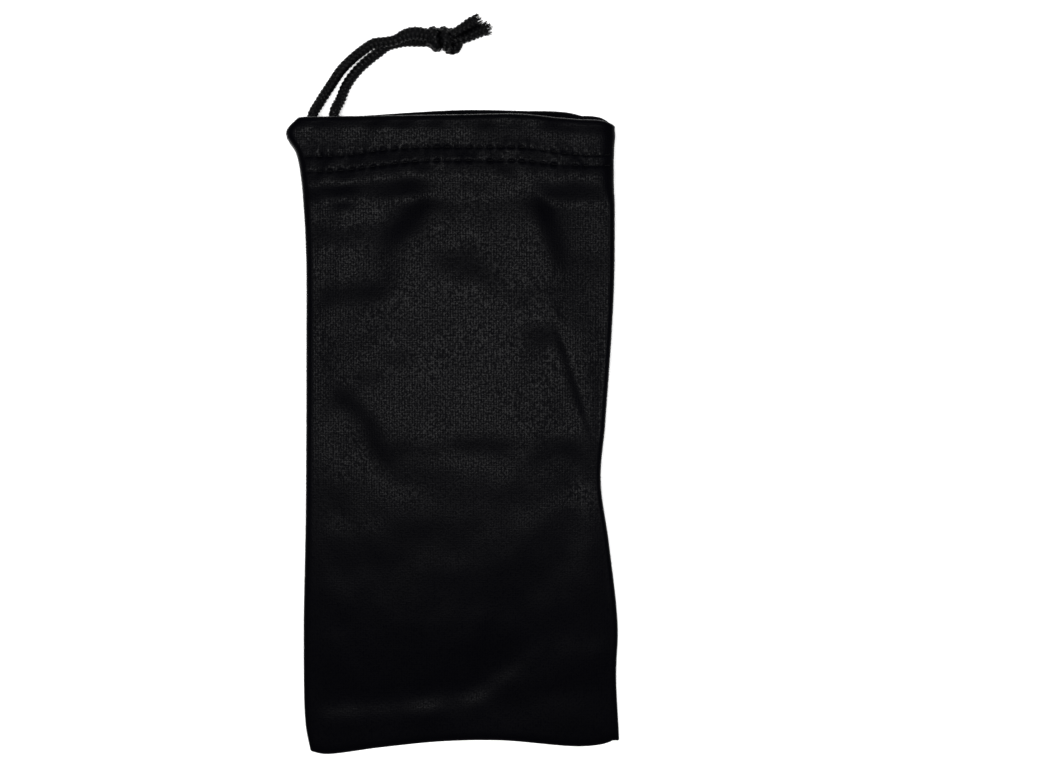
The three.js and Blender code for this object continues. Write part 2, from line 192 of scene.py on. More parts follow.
def row_height(side, across):
    """Height of the middle of the hem along its rows of stitches."""
    back = CLOTH / 2 + PINCH + BULGE["back"][0]
    if side == "back":
        return back + 0 * across
    gap = AIR + MOUTH_GAP * edge_dome(across * WIDTH, SEAM_ROUND)
    return back + 2 * PINCH + CLOTH + (BULGE["back"][1] + BULGE["front"][1]) * channel(across) + gap


def hem_offset(bulge, full, face, swell):
    """How far a layer is from the middle of the hem. face is 1 on the outer layer, -1 on the inner one."""
    out, into = (PINCH + b * full * swell for b in bulge)
    return (out - into) / 2 + face * (out + into) / 2


def waves(x, y, count, size, seed):
    """A smooth random height, about -1 to 1, with bumps of about that size in millimetres."""
    rng = np.random.default_rng(seed)
    total = np.zeros(np.broadcast(x, y).shape)
    for _ in range(count):
        turn = rng.uniform(0, 2 * math.pi)
        k = 2 * math.pi / (size * rng.uniform(1.4, 3.0))
        total += np.cos(k * (x * math.cos(turn) + y * math.sin(turn)) + rng.uniform(0, 2 * math.pi))
    return total / math.sqrt(count)


# Folds of the front cloth, in mm: kind, from, to, half width and size. The size of a ridge is its height.
# The size of a slope is its steepness, and it falls to the right of the way from its start to its end.
FOLDS = [
    ("slope", (-21, 70.5), (-31, 64.8), 2.4, 0.12),
    ("slope", (-31, 64.8), (-40, 67.5), 2.4, 0.10),
    ("slope", (-40, 61.5), (-21, 62), 2.4, 0.07),
    ("slope", (-29, 56.5), (-41, 56), 2.4, 0.07),
    ("slope", (-7, 73), (-9, 64), 3.6, 0.10),
    ("slope", (-8, 65), (-16, 56), 4.2, 0.085),
    ("slope", (-16, 56), (-19, 46), 4.0, 0.07),
    ("slope", (-23, 39.5), (-35, 38), 3.2, 0.07),
    ("slope", (-14, 39.5), (-19, 39), 3.0, 0.03),
    ("slope", (9, 43), (2, 47), 3.4, 0.08),
    ("slope", (25.5, 63), (18.5, 74), 3.2, 0.11),
    ("slope", (29.5, 50), (25.5, 63), 3.2, 0.11),
    ("slope", (30.5, 24), (39.5, -2), 3.0, 0.18),
    ("ridge", (28.5, 34), (43, -11), 1.2, 0.15),
    ("slope", (-31, 17), (-24, 16), 3.0, 0.07),
    ("slope", (-20, 22), (-14, 21), 3.0, 0.06),
    ("slope", (-36, 6), (-31, 10), 2.8, 0.10),
    ("slope", (-31, 10), (-24, 3.5), 2.8, 0.11),
    ("slope", (-22, -3), (-17, -10.5), 3.2, 0.09),
    ("slope", (-12.5, -4), (-6.5, -4.5), 2.6, 0.07),
    ("slope", (2.5, -3.5), (12.5, -4), 2.8, 0.11),
    ("slope", (-7, -14), (-1, -18), 3.6, 0.05),
    ("slope", (33, -5), (41, -10), 3.4, 0.12),
    ("slope", (37, -17.5), (24, -22), 3.2, 0.08),
    ("slope", (37, -28), (34, -41), 3.4, 0.08),
    ("slope", (-38, -64), (15, -62), 9.0, 0.04),
    ("slope", (25, -60), (16, -68.5), 2.4, 0.07),
    ("slope", (16, -68.5), (7, -75), 2.4, 0.09),
    ("slope", (7, -75.5), (-8, -78), 2.4, 0.10),
    ("slope", (-8, -78), (-35, -80), 2.4, 0.13),
    ("slope", (24, -74), (40, -66), 3.2, 0.05),
]


def folds(x, y):
    """Height of the folds, each fading out towards its ends."""
    height = np.zeros_like(x)
    for kind, start, end, half, size in FOLDS:
        s, e = np.array(start, float), np.array(end, float)
        length = np.linalg.norm(e - s)
        d = (e - s) / length
        along = (x - s[0]) * d[0] + (y - s[1]) * d[1]
        off = ((x - s[0]) * -d[1] + (y - s[1]) * d[0]) / half
        past = np.maximum(np.maximum(-along, along - length), 0) / (half * FOLD_END)
        fade = np.exp(-past * past)
        if kind == "ridge":
            height += size * np.exp(-off * off) * fade
        else:
            height += size * half * np.tanh(off) * np.exp(-((off / SLOPE_REACH) ** 2)) * fade
    return height


def body_top(down):
    """Height of the front cloth down the middle: it sinks from the hem to the closed bottom."""
    past = down - SAG_START
    return TOP - TOP_FALL * (down - HEM_START) - SAG_FALL * (past + np.hypot(past, SAG_ROUND))


def body_height(side, across, down):
    """Height of the middle of the cloth below the hem. Front and back meet half way up at the edges."""
    place = plan(side, across, down)
    x, y = place[..., 0], place[..., 1]
    top = body_top(down)
    left, right, end = across * WIDTH, (1 - across) * WIDTH, LENGTH - down
    soft = sum(waves(x, y, count, size, seed) * height for count, size, seed, height in SOFT_WAVES)
    full = edge_dome(left, EDGE_TURN) * edge_dome(right, EDGE_TURN) * edge_dome(end, BOTTOM_TURN)
    if side == "back":
        return mix(SEAM_SHARE * top - SEAM_HALF, CLOTH / 2 + BACK_WAVES * np.abs(soft), full)
    inner = smooth(left / FOLD_IN) * smooth(right / FOLD_IN) * smooth(end / FOLD_UP)
    camber = CAMBER * (1 - smooth(left / CAMBER_LEFT)) + CAMBER * (1 - smooth(right / CAMBER_RIGHT))
    flat = mix(SEAM_SHARE * top + SEAM_HALF, top - camber, full)
    return flat + (folds(x, y) + soft) * mix(FOLD_LEAST, 1, inner) * full


def puckers(x, down):
    """Small gathers that the two rows of stitches draw into the cloth, in mm."""
    fine = waves(x, 0 * x, 12, 1.9, 11)
    wide = waves(x, 0 * x, 12, 3.4, 12)
    loose = waves(x, down + 0 * x, 14, 4.2, 13)
    below = np.exp(-np.clip(down - ROW_LOWER, 0, None) / 4.0) * smooth((down - ROW_LOWER) / 1.5)
    between = np.exp(-(((down - (ROW_UPPER + ROW_LOWER) / 2) / 1.8) ** 2))
    above = np.exp(-(((down - ROW_UPPER + 1.9) / 1.5) ** 2))
    in_hem = smooth(down / 2) * smooth((20 - down) / 6)
    return 0.12 * wide * below + 0.08 * fine * between + 0.07 * wide * above + 0.10 * loose * in_hem


def dash(x):
    """1 in the middle of a stitch and 0 between two stitches."""
    off = np.abs(((x / STITCH) % 1) - 0.5) * 2
    return 1 - smooth((off - STITCH_FLAT) / STITCH_DIP)


def stitch_dimples(x, down, face):
    """The cloth is drawn in along each row, most under each stitch."""
    depth = np.zeros_like(x)
    for row in (ROW_UPPER, ROW_LOWER):
        line = np.exp(-(((down - row) / ROW_HALF) ** 2))
        pull = 1 + 0.45 * waves(x, 0 * x, 8, 2.6, 40 + int(row))
        depth += line * (ROW_DEPTH + STITCH_DEPTH * dash(x) * np.clip(pull, 0.3, 1.5))
    return depth * face


def sewn_down(side, across, down):
    """Distance from the lip at which a place of the hem really lies.

    Both rows lie below their nominal lines, most toward the side seam, because the cloth was pulled while
    it was sewn. The back follows the front's pull only near the seam that joins them.
    """
    across, down = np.broadcast_arrays(across, down)
    x = plan(side, across, down)[..., 0]
    share = 1 if side == "front" else 1 - smooth(across * WIDTH / 10)
    upper = UPPER_LOW + share * (2.6 * smooth((-8 - x) / 32) + 0.3 * smooth((x - 20) / 18))
    lower = LOWER_LOW + share * (3.0 * smooth((-2 - x) / 38) - 0.6 * smooth((x - 26) / 12))
    at_upper = np.interp(down, [0, CORD_DOWN + 1, ROW_UPPER, ROW_LOWER], [0, 0, 1, 0])
    at_lower = np.interp(down, [ROW_UPPER, ROW_LOWER, HEM_START + 1, PULL_END], [0, 1, 1, 0])
    return down + upper * at_upper + lower * at_lower


# How far the channel is open, and what share of the crest is left, at distances from the lip.
SWELL_AT = [0, 1.6, 2.4, 3.3, 4.0, CORD_DOWN, 5.6, 6.3, 7.4, ROW_UPPER]
SWELL = [LIP_SWELL, LIP_SWELL, 0.76, 0.9, 1, 1, 0.87, 0.55, 0.15, 0]
CREST_AT = [0, 1.2, 2.2, 3.6, 5.6, 7.4, ROW_UPPER]
CREST_SHARE = [1, 1, 0.75, 0.5, 0.25, 0.06, 0]


def hem_rows(fine):
    """Places along the cloth from the bottom seam, up the outside, round the lip and down the inside.

    Each has its distance from the lip, its face (1 outside, -1 inside), its swell and its crest.
    """
    near_row = np.array([1.3, 0.9, 0.6, 0.35, 0.12, -0.12, -0.35, -0.6, -0.9, -1.3])
    outer = np.concatenate([
        LENGTH - np.array([0, 0.3, 0.8, 1.5, 2.4, 3.4, 4.5]),
        np.linspace(LENGTH - 5.6, 18.6, fine),
        [17.4, 16.3, 15.2], ROW_LOWER + near_row, [10.8], ROW_UPPER + near_row,
        [6.8, 6.2, 5.5, 4.8, 4.1, 3.4, 2.7, 2.1],
    ])
    inner = np.linspace(2.1, HEM_END, 15)
    turn = np.radians(np.linspace(90, -90, 11))
    crest = CREST * np.interp(outer, CREST_AT, CREST_SHARE)
    return np.concatenate([
        np.stack([outer, 1 + 0 * outer, np.interp(outer, SWELL_AT, SWELL), crest], 1),
        np.stack([
            LIP_EDGE + LIP_DEPTH * (1 - np.cos(turn)), np.sin(turn),
            LIP_SWELL + 0 * turn, CREST * (1 + np.sin(turn)) / 2,
        ], 1),
        np.stack([inner, -1 + 0 * inner, np.interp(inner, SWELL_AT, SWELL), 0 * inner], 1),
    ])


def near_seam_fade(across):
    """1 over most of the cloth, and 0 at the side seam, where stitches and puckers end."""
    return np.clip(across * WIDTH / 5, 0, 1)


def surface(side, across, rows):
    """Middle of the cloth: rows by columns of places, for one side up to the corner of the mouth."""
    down, face, swell, crest = (rows[:, k][:, None] for k in range(4))
    across = across[None, :] * mix(1, BODY_END / CORNER, smooth((down - BODY_START) / BODY_FADE))
    real_down = sewn_down(side, across, down)
    place = plan(side, across, real_down)
    outward = 1 if side == "front" else -1
    hem = row_height(side, across) + outward * hem_offset(HEM_BULGE[side], channel(across), face, swell)
    if side == "front":
        hem = hem + crest * channel(across)
    sewn = (1 - edge_dome(across * WIDTH, SEWN_WIDTH)) * np.clip(face, 0, 1)
    hem = mix(hem, HEM_SEAM + outward * SEAM_HALF, sewn)
    z = mix(body_height(side, across, real_down), hem, smooth((HEM_LEAVE - down) / HEM_FADE))
    x, y = place[..., 0], place[..., 1]
    z = z + outward * puckers(x, down) * near_seam_fade(across)
    # The layer turned inside starts a little way in from the seam.
    x = x + LINING_IN * (1 - smooth(across * WIDTH / LINING_FADE)) * np.clip(-face, 0, 1)
    return np.dstack([x, y, np.maximum(z, CLOTH / 2)])


def turn_places(front, back, edge_x, t, flat=4.5):
    """Round the fold, from a front place to a back place, flat above and below and tight at the edge."""
    angle = math.pi * t
    middle, half = (front[2] + back[2]) / 2, (front[2] - back[2]) / 2
    base = mix(front[0], back[0], t)
    out = np.abs(np.sin(angle)) ** (2 / flat)
    up = np.sign(np.cos(angle)) * np.abs(np.cos(angle)) ** (2 / flat)
    y = mix(front[1], back[1], smooth(t))
    return np.stack([base + (edge_x - base) * out, y, middle + half * up], -1)


def turn_shares(count):
    """Shares of the way round the fold, close together near both ends."""
    return 0.5 - 0.5 * np.cos(np.linspace(0, math.pi, count + 2)[1:-1])


def hem_edge(front, back):
    """How far the hem reaches at the fold, from the height of its two sides there."""
    return HEM_REACH + (front[2] - back[2]) * REACH_SHARE


def pouch_grid(front_columns, turn_columns, back_columns, fine):
    """The whole cloth: rows from the bottom seam to the cut edge, columns from the side seam round."""
    rows = hem_rows(fine)
    near_seam = np.array([0, 0.15, 0.45, 0.9, 1.5, 2.2, 3.0, 3.8]) / WIDTH
    front_across = np.concatenate([near_seam, np.linspace(4.6 / WIDTH, CORNER, front_columns)])
    back_across = np.concatenate([near_seam, np.linspace(5.2 / WIDTH, CORNER, back_columns)])[::-1]
    front, back = surface("front", front_across, rows), surface("back", back_across, rows)
    t = turn_shares(turn_columns)
    turn = np.zeros((len(rows), turn_columns, 3))
    for k, (down, face, _, _) in enumerate(rows):
        f, b = front[k, -1], back[k, 0]
        open_edge = float(at(RIGHT, 1 - down / LENGTH)[0]) - CLOTH / 2
        near_lip = float(smooth((EDGE_LEAVE - down) / EDGE_FADE)) if face > 0 else 1.0
        edge = mix(open_edge, hem_edge(f, b), near_lip)
        turn[k] = turn_places(f, b, edge, t)
        share = np.clip((turn[k][:, 0] - f[0]) / (edge - f[0]), 0, 1)
        turn[k][:, 1] -= CORNER_DROP * share**4 * smooth((CORNER_FADE - down) / CORNER_FADE)
    cloth = np.concatenate([front, turn, back], axis=1)
    facing = np.concatenate([
        near_seam_fade(front_across), np.cos(math.pi * t), -near_seam_fade(back_across),
    ])
    cloth[..., 2] -= stitch_dimples(cloth[..., 0], rows[:, :1], rows[:, 1:2]) * facing
    cloth[..., 2] = np.maximum(cloth[..., 2], CLOTH / 2)
    return cloth


# ---------------------------------------------------------------- meshes
def new_mesh(name, vertices, faces):
    """A smooth object from vertices in mm."""
    mesh = bpy.data.meshes.new(name)
    mesh.from_pydata((np.asarray(vertices, float) * MM).tolist(), [], faces)
    mesh.polygons.foreach_set("use_smooth", [True] * len(mesh.polygons))
    mesh.validate()
    mesh.update()
    obj = bpy.data.objects.new(name, mesh)
    bpy.context.collection.objects.link(obj)
    return obj


def thick_sheet(name, grid, thickness):
    """A closed cloth of even thickness round a grid of places."""
    n, m = grid.shape[:2]
    du, dv = np.gradient(grid, axis=1), np.gradient(grid, axis=0)
    normal = np.cross(du, dv)
    normal /= np.maximum(np.linalg.norm(normal, axis=2, keepdims=True), 1e-9)
    top, low = grid + normal * thickness / 2, grid - normal * thickness / 2
    vertices = np.concatenate([top.reshape(-1, 3), low.reshape(-1, 3)])
    idx = np.arange(n * m).reshape(n, m)
    a, b, c, d = idx[:-1, :-1].ravel(), idx[:-1, 1:].ravel(), idx[1:, 1:].ravel(), idx[1:, :-1].ravel()
    o = n * m
    faces = np.stack([a, b, c, d], 1).tolist() + np.stack([d + o, c + o, b + o, a + o], 1).tolist()
    loop = np.concatenate([idx[0, :-1], idx[:-1, -1], idx[-1, :0:-1], idx[:0:-1, 0]])
    nxt = np.roll(loop, -1)
    faces += np.stack([loop, loop + o, nxt + o, nxt], 1).tolist()
    return new_mesh(name, vertices, faces)


def frames(path):
    """Tangent, normal and binormal along a path, turning as little as they can."""
    tangent = np.gradient(path, axis=0)
    tangent /= np.linalg.norm(tangent, axis=1, keepdims=True)
    normal = np.zeros_like(tangent)
    start = np.cross(tangent[0], (0.0, 0.0, 1.0))
    if np.linalg.norm(start) < 0.1:
        start = np.cross(tangent[0], (0.0, 1.0, 0.0))
    normal[0] = start / np.linalg.norm(start)
    for k in range(1, len(path)):
        n = normal[k - 1] - tangent[k] * np.dot(normal[k - 1], tangent[k])
        normal[k] = n / np.linalg.norm(n)
    return tangent, normal, np.cross(tangent, normal)


def tube_data(path, radius, sides):
    """Vertices and faces of a closed tube. radius is a number, or one for each point and side."""
    path = np.asarray(path, float)
    _, normal, binormal = frames(path)
    angle = np.linspace(0, 2 * math.pi, sides, endpoint=False)
    r = np.broadcast_to(np.asarray(radius, float), (len(path), sides))[..., None]
    ring = np.cos(angle)[None, :, None] * normal[:, None] + np.sin(angle)[None, :, None] * binormal[:, None]
    vertices = (path[:, None] + r * ring).reshape(-1, 3)
    idx = np.arange(len(path) * sides).reshape(len(path), sides)
    nxt = np.roll(idx, -1, axis=1)
    faces = np.stack([idx[:-1], nxt[:-1], nxt[1:], idx[1:]], -1).reshape(-1, 4).tolist()
    faces += [idx[0, ::-1].tolist(), idx[-1].tolist()]
    return vertices, faces


def join(parts):
    """One list of vertices and faces from several."""
    vertices, faces, count = [], [], 0
    for v, f in parts:
        vertices.append(v)
        faces += [[i + count for i in face] for face in f]
        count += len(v)
    return np.concatenate(vertices), faces


def resample(points, step):
    """Places on a smooth curve through the points, about a step apart."""
    curve = spline(points)
    count = max(3, int(round(curve[1][-1] / step)) + 1)
    return at(curve, np.linspace(0, 1, count))


BRAID_SIDES = 40
BRAID_LOBES = 4      # strands that go round the cord each way
BRAID_PITCH = 5.4    # length in which a strand of the braid goes once round the cord
BRAID_RELIEF = 0.3   # how deep the hollows between the strands are
BRAID_STEP = 0.22


def braided(path, radius, start=0.0, squeeze=None):
    """A braided cord: two sets of strands that cross round it and stand off it in turn.

    start is where the braid's pattern begins, and squeeze is a factor on the radius along the path.
    """
    path = np.asarray(path, float)
    along = start + np.concatenate([[0], np.cumsum(np.linalg.norm(np.diff(path, axis=0), axis=1))])
    angle = np.linspace(0, 2 * math.pi, BRAID_SIDES, endpoint=False)[None, :]
    turn = 2 * math.pi * along[:, None] / BRAID_PITCH
    one, two = BRAID_LOBES * (angle + turn), BRAID_LOBES * (angle - turn)
    over = np.sin((one + two) / 2) * np.sin((one - two) / 2)
    lobes = np.where(over > 0, np.abs(np.cos(one / 2)), np.abs(np.cos(two / 2)))
    r = radius - BRAID_RELIEF + BRAID_RELIEF * 1.3 * lobes
    if squeeze is not None:
        r = r * np.asarray(squeeze)[:, None]
    return tube_data(path, r, BRAID_SIDES)


# ---------------------------------------------------------------- drawstring
def cord_place(side, across):
    """Middle of the drawstring in the channel."""
    across = np.asarray(across, float)
    place = plan(side, across, CORD_DOWN)
    outward = 1 if side == "front" else -1
    z = row_height(side, across) + outward * hem_offset(HEM_BULGE[side], channel(across), 0, 1)
    return np.column_stack([place, z])


BEND_OUT = 3.9       # how far the drawstring reaches past the place where it starts to turn
front_run = cord_place("front", np.linspace(FRONT_END, CORNER, 40))
back_run = cord_place("back", np.linspace(BACK_END, CORNER, 40))
bend = turn_places(front_run[-1], back_run[-1], TURN_X + BEND_OUT, np.linspace(0, 1, 17)[1:-1], flat=2.4)
left_route = np.array([
    front_run[0], front_run[0] - (1.9, 0, 0), (-38.9, 85.5, 9), (-40.2, 87.4, 6.8), (-39.8, 90.5, 5.8),
    (-38.1, 94.2, 3.4), (-35.6, 98.6, 1.8), (-32.1, 103.5, 2.5), (-29.5, 106, 3.2), (-26.1, 108.6, 4.1),
    (-22.7, 110.6, 4.8), (-19.5, 111, 5), (-16.7, 111.5, 5.1), (-13.8, 112.9, 5.1), (-11, 113.5, 5.1),
    (-8.5, 113.2, 5), (-6.4, 112.6, 5),
])
right_route = np.array([
    back_run[0], back_run[0] - (1.9, 0, 0), (-32.6, 86.4, 4), (-33.9, 88.6, 5.9), (-33.6, 91.3, 6.1),
    (-32.3, 94.8, 3.4), (-31, 98.6, 1.8), (-29.3, 101.4, 1.65), (-26.6, 104.5, 1.65), (-24.1, 106.7, 1.65),
    (-21.5, 108.7, 1.65), (-19.2, 110.4, 1.65), (-16.7, 111.2, 1.65), (-13.8, 111.7, 1.65),
    (-11, 111.7, 1.8), (-8.5, 111.6, 2.2), (-6.4, 111.5, 2.9),
])
run_path = resample(np.concatenate([front_run, bend, back_run[::-1]]), 0.5)
runs = new_mesh("drawstring_in_hem", *braided(run_path, CORD_R))
strands = {}
for side, route in (("left", left_route), ("right", right_route)):
    path = resample(route, BRAID_STEP)
    # The left strand is bunched up just before the knot.
    bunch = 1 + 0.24 * smooth((path[:, 0] + 16.5) / 4) if side == "left" else 1 + 0 * path[:, 0]
    strands[side] = (new_mesh(f"drawstring_{side}", *braided(path, CORD_R, squeeze=bunch)), path)

KNOT = np.array([-3.6, 112.0, 4.0])
LOOP = np.array([-0.5, 110.5, 3.1])
KNOT_CORD_R = 1.55
WRAP_R, WRAP_LEAN = 2.05, 1.35     # how far the wraps go round, and how far each leans along the strands


def wrap_route(shift, turns=1.3, start=-0.35):
    """One cord of the knot: it winds round the strands and leans along them."""
    turn = 2 * math.pi * np.linspace(start, start + turns, 60)
    lean = np.linspace(-WRAP_LEAN, WRAP_LEAN, 60)
    return KNOT + np.stack([shift + lean, WRAP_R * 1.05 * np.cos(turn), WRAP_R * np.sin(turn)], -1)


def loop_route():
    """The small loop that stands out under the knot on its far side."""
    turn = np.linspace(-2.3, 2.5, 40)
    return LOOP + np.stack([1.5 * np.cos(turn), 1.15 * np.sin(turn), 0.5 * turn], -1)


knot = new_mesh("drawstring_knot", *join([
    braided(resample(wrap_route(-1.75), BRAID_STEP), KNOT_CORD_R, start=7),
    braided(resample(wrap_route(1.35), BRAID_STEP), KNOT_CORD_R, start=2),
    braided(resample(loop_route(), BRAID_STEP), KNOT_CORD_R, start=4),
    braided(resample([KNOT + (-4.4, 0, 0), KNOT, KNOT + (3.6, 0.8, 0.4)], BRAID_STEP), CORD_R * 1.1),
]))

TAILS = {
    "left": np.array([
        (-1.2, 112.8, 4.6), (0.6, 113.6, 5), (2.0, 114.5, 4.9), (3.3, 115.3, 4.6), (4.9, 116.4, 4.1),
        (6.3, 117.2, 3.7),
    ]),
    "right": np.array([
        (-1.0, 111.8, 3.8), (0.8, 111.9, 4.0), (2.4, 112.1, 4.1), (4.3, 112.8, 3.9), (6.7, 114.2, 2.9),
        (9.0, 115.2, 2.2),
    ]),
}
FRAYS, FRAY_R = 60, 0.09   # loose fibres at the cut end of each tail
LOWEST_FRAY = 0.2    # no fibre lies lower
tails = []
rng = np.random.default_rng(21)
for side, route in TAILS.items():
    path = resample(route, BRAID_STEP)
    share = np.linspace(0, 1, len(path))
    parts = [braided(path, CORD_R, start=3, squeeze=1 + 0.22 * smooth((share - 0.35) / 0.5))]
    tangent, normal, binormal = frames(path)
    for _ in range(FRAYS):
        turn, out = rng.uniform(0, 2 * math.pi), CORD_R * math.sqrt(rng.uniform(0.05, 1))
        aside = normal[-1] * math.cos(turn) + binormal[-1] * math.sin(turn)
        root = path[-1] - tangent[-1] * 0.6 + aside * out
        reach = rng.uniform(0.9, 2.3)
        tip = root + tangent[-1] * reach + aside * out * rng.uniform(0.1, 0.5) + rng.normal(0, 0.15, 3)
        tip[2] = max(tip[2], LOWEST_FRAY)
        middle = (root + tip) / 2 + rng.normal(0, 0.1, 3)
        middle[2] = max(middle[2], LOWEST_FRAY)
        parts.append(tube_data(resample([root, middle, tip], 0.4), FRAY_R, 5))
    tails.append(new_mesh(f"drawstring_{side}_tail", *join(parts)))

# ---------------------------------------------------------------- cloth
pouch_middle = pouch_grid(front_columns=195, turn_columns=27, back_columns=46, fine=100)
pouch = thick_sheet("pouch_cloth", pouch_middle, CLOTH)


# ---------------------------------------------------------------- stitches
def layer_places(side, across, down, face):
    """Middle of one layer of the hem along a row of stitches, as smooth cloth."""
    place = plan(side, across, sewn_down(side, across, down))
    outward = 1 if side == "front" else -1
    z = row_height(side, across) + outward * hem_offset(HEM_BULGE[side], channel(across), face, 0)
    x, y = place[:, 0], place[:, 1]
    return np.column_stack([x, y, z + outward * puckers(x, np.full_like(x, down))])


def row_line(down, face):
    """One row on one layer, from the side seam along the front, round the fold and along the back.

    The second result is the outward direction at each place.
    """
    spots = np.linspace(0.012, CORNER, 300)
    front = layer_places("front", spots, down, face)
    back = layer_places("back", spots[::-1], down, face)
    turn = turn_places(front[-1], back[0], hem_edge(front[-1], back[0]), turn_shares(40))
    line = np.concatenate([front, turn, back])
    along = np.gradient(line, axis=0)
    along /= np.linalg.norm(along, axis=1, keepdims=True)
    return line, np.stack([-along[:, 2], 0 * along[:, 1], along[:, 0]], -1) * face


THREAD_STEP = 0.22
HOLE_DEPTH = -0.3    # the thread's place at a hole, from the middle of its layer
ROW_IN = 0.4         # how far from its ends a row's thread starts
THREAD_SWAY, THREAD_AIR = 0.06, 0.02
THREAD_OUT = 0.1     # how far the middle of the thread lies outside the cloth in the middle of a stitch


def stitch_row(name, down, face):
    """One row of lockstitch: the thread lies on the cloth and dips into it at each hole."""
    line, up = row_line(down, face)
    along = np.concatenate([[0], np.cumsum(np.linalg.norm(np.diff(line, axis=0), axis=1))])
    s = np.arange(ROW_IN, along[-1] - ROW_IN, THREAD_STEP)
    base = np.stack([np.interp(s, along, line[:, k]) for k in range(3)], -1)
    out = np.stack([np.interp(s, along, up[:, k]) for k in range(3)], -1)
    out /= np.linalg.norm(out, axis=1, keepdims=True)
    lift = mix(HOLE_DEPTH, CLOTH / 2 + THREAD_OUT - STITCH_DEPTH, dash(base[:, 0]))
    path = base + out * lift[:, None]
    path[:, 1] += waves(s, 0 * s, 6, 9, 31 + int(down)) * THREAD_SWAY
    path[:, 2] = np.maximum(path[:, 2], THREAD_R + THREAD_AIR)
    return new_mesh(name, *tube_data(path, THREAD_R, 8))


needle_upper = stitch_row("hem_upper_needle_thread", ROW_UPPER, 1)
needle_lower = stitch_row("hem_lower_needle_thread", ROW_LOWER, 1)
bobbin_upper = stitch_row("hem_upper_bobbin_thread", ROW_UPPER, -1)
bobbin_lower = stitch_row("hem_lower_bobbin_thread", ROW_LOWER, -1)

# ---------------------------------------------------------------- seam allowances inside
DOUBLE, PRESSED = 2 * CLOTH, 0.9   # thickness of two layers, and how far they are pressed together
SEAM_IN = 2.8        # distance of the seams from the edges of the pouch
STRIP = np.linspace(1.4, 6.6, 8)   # distances from an edge across its allowance
SEAM_WAVE = 0.16
ALLOWANCE_AIR = 0.06               # distance between the back cloth and the allowances
THREAD_LIFT = 0.25


def inside(u, down, lift):
    """Places above the back cloth, inside the pouch."""
    u, down = np.broadcast_arrays(u, down)
    z = body_height("back", u, down) + CLOTH / 2 + ALLOWANCE_AIR + lift
    return np.concatenate([plan("back", u, down), z[..., None]], axis=-1)


def allowance(name, u, down):
    """The two edges of the cloth along a seam, lying on the back cloth."""
    return thick_sheet(name, inside(u, down, DOUBLE / 2), DOUBLE * PRESSED)


def seam_thread(name, u, down):
    """A row of stitches that goes up and down through an allowance."""
    path = inside(u, down, DOUBLE + THREAD_LIFT)
    along = np.concatenate([[0], np.cumsum(np.linalg.norm(np.diff(path, axis=0), axis=1))])
    path[:, 2] += SEAM_WAVE * np.cos(2 * math.pi * along / STITCH)
    return new_mesh(name, *tube_data(path, THREAD_R, 8))


side_allowance = allowance(
    "side_seam_allowance_cloth", STRIP[None, :] / WIDTH, np.linspace(LENGTH - 8, 20, 160)[:, None],
)
bottom_allowance = allowance(
    "bottom_seam_allowance_cloth", np.linspace(0.035, 0.965, 90)[None, :], LENGTH - STRIP[:, None],
)
side_thread = seam_thread("side_seam_stitches", SEAM_IN / WIDTH, np.linspace(LENGTH - 9, 21, 560))
bottom_thread = seam_thread("bottom_seam_stitches", np.linspace(0.05, 0.95, 320), LENGTH - SEAM_IN)


# ---------------------------------------------------------------- materials
def grey(level, blue):
    """A nearly black colour with a little more blue in it."""
    return level, level, blue


SHEEN_ROUGHNESS = 0.22
WAVE_RADIANS = 20    # how far Blender's wave texture turns in one unit of length, at a scale of 1


